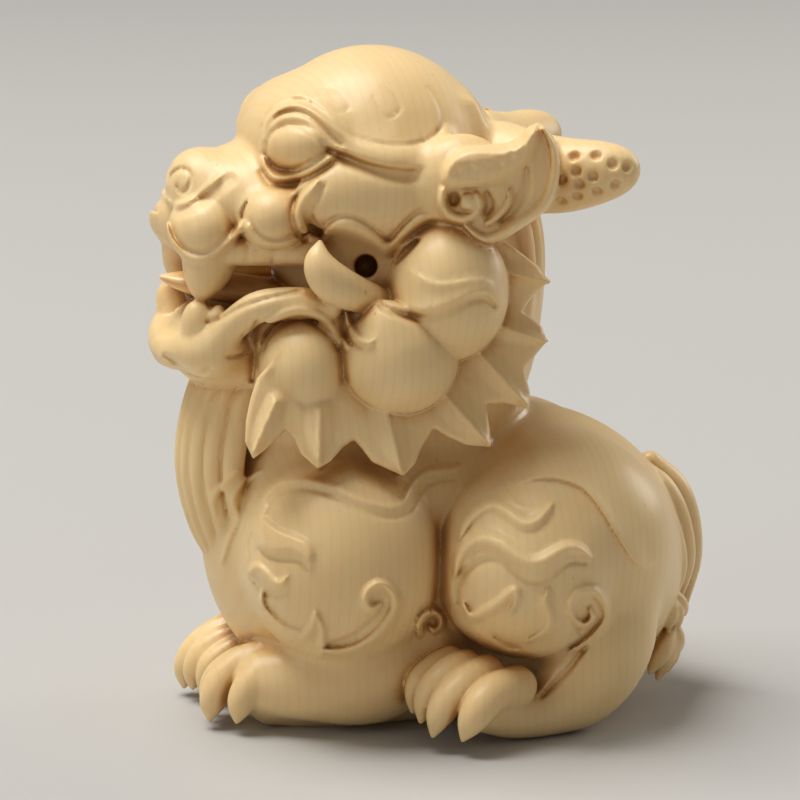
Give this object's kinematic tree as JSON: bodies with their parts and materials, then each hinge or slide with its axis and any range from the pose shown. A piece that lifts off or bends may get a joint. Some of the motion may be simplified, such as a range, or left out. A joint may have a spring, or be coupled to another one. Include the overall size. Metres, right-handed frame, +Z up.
{
  "type": "carved wood qilin figure",
  "caption": "Small seated qilin carved from one block of boxwood, with open jaws, swept-back horns, curled cheek locks, a pointed mane collar and scroll relief.",
  "frame": {"origin": "middle of the figure's length and width, on the surface that it stands on", "axes": "+Z up; the beast looks along -Y; +X is its left side"},
  "size_m": [0.048, 0.0552, 0.0645],
  "materials": {
    "boxwood": "polished satin"
  },
  "bodies": {
    "root": {"carved_qilin": "boxwood"}
  },
  "joints": []
}
